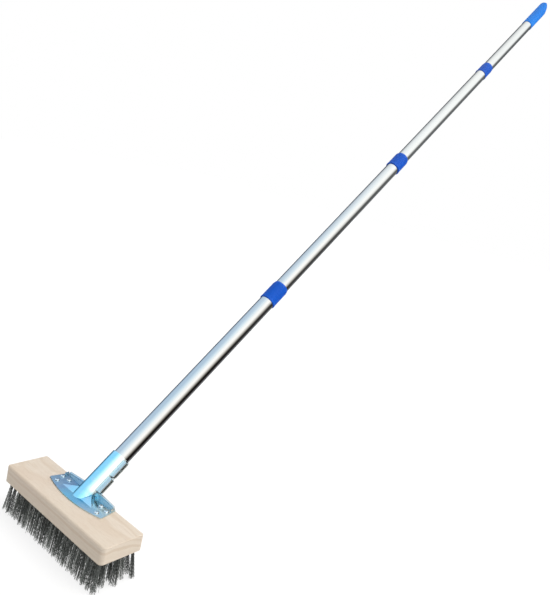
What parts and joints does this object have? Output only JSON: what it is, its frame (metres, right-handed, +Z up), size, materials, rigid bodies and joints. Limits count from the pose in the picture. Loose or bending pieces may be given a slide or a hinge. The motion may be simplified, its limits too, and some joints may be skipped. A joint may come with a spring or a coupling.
{
  "type": "long-handled wire scrubbing brush",
  "caption": "Wooden scrubbing brush head with tufts of steel wire, a pressed-steel handle bracket and a telescopic pole with twist locks and a hanging eye.",
  "frame": {"origin": "middle of the bristle tips, on the surface being scrubbed", "axes": "+X along the brush head, +Y to the side that the pole leans to, +Z up"},
  "size_m": [0.26, 1.3204, 1.2094],
  "materials": {
    "beech": "planed, bare",
    "steel_wire": "dark crimped wire",
    "blue_zinc": "blue-passivated zinc",
    "zinc_screws": "bright zinc",
    "bright_tube": "bright plated steel",
    "blue_plastic": "moulded",
    "white_plastic": "moulded",
    "black_plastic": "moulded"
  },
  "bodies": {
    "head": {"brush_block": "beech", "tuft_anchors": "steel_wire", "bristle_row_1": "steel_wire", "bristle_row_2": "steel_wire", "bristle_row_3": "steel_wire", "bristle_row_4": "steel_wire", "bristle_row_5": "steel_wire", "handle_bracket": "blue_zinc", "bracket_screws": "zinc_screws", "socket_screw": "zinc_screws", "foot_plug": "black_plastic", "tube_1": "bright_tube", "collar_1": "blue_plastic"},
    "lock_2": {"expander_2": "white_plastic"},
    "section_2": {"tube_2": "bright_tube", "lock_plug_2": "black_plastic", "spindle_clip_2": "zinc_screws", "collar_2": "blue_plastic"},
    "cone_2": {"cone_nut_2": "black_plastic"},
    "lock_3": {"expander_3": "white_plastic"},
    "section_3": {"tube_3": "bright_tube", "lock_plug_3": "black_plastic", "spindle_clip_3": "zinc_screws", "collar_3": "blue_plastic"},
    "cone_3": {"cone_nut_3": "black_plastic"},
    "lock_4": {"expander_4": "white_plastic"},
    "section_4": {"tube_4": "bright_tube", "lock_plug_4": "black_plastic", "spindle_clip_4": "zinc_screws", "end_grip": "blue_plastic"},
    "cone_4": {"cone_nut_4": "black_plastic"}
  },
  "joints": [
    {"name": "section_2_slide", "type": "slide", "parent": "head", "child": "lock_2", "axis": [0, 0.7431, 0.6691], "range_m": [-0.3995, 0]},
    {"name": "section_2_twist", "type": "hinge", "parent": "lock_2", "child": "section_2", "pos_m": [0, 0.35941, 0.37711], "axis": [0, 0.7431, 0.6691], "range_deg": [0, 180]},
    {"name": "cone_2_travel", "type": "slide", "parent": "lock_2", "child": "cone_2", "axis": [0, 0.7431, 0.6691], "range_m": [-0.0008, 0]},
    {"name": "section_3_slide", "type": "slide", "parent": "section_2", "child": "lock_3", "axis": [0, 0.7431, 0.6691], "range_m": [-0.3665, 0]},
    {"name": "section_3_twist", "type": "hinge", "parent": "lock_3", "child": "section_3", "pos_m": [0, 0.68714, 0.67219], "axis": [0, 0.7431, 0.6691], "range_deg": [0, 180]},
    {"name": "cone_3_travel", "type": "slide", "parent": "lock_3", "child": "cone_3", "axis": [0, 0.7431, 0.6691], "range_m": [-0.0008, 0]},
    {"name": "section_4_slide", "type": "slide", "parent": "section_3", "child": "lock_4", "axis": [0, 0.7431, 0.6691], "range_m": [-0.2215, 0]},
    {"name": "section_4_twist", "type": "hinge", "parent": "lock_4", "child": "section_4", "pos_m": [0, 0.98812, 0.94319], "axis": [0, 0.7431, 0.6691], "range_deg": [0, 180]},
    {"name": "cone_4_travel", "type": "slide", "parent": "lock_4", "child": "cone_4", "axis": [0, 0.7431, 0.6691], "range_m": [-0.0008, 0]}
  ],
  "couplings": [
    {"joint": "cone_2_travel", "follows": "section_2_twist", "m_per_rad": -0.00023873},
    {"joint": "cone_3_travel", "follows": "section_3_twist", "m_per_rad": -0.00023873},
    {"joint": "cone_4_travel", "follows": "section_4_twist", "m_per_rad": -0.00023873}
  ]
}
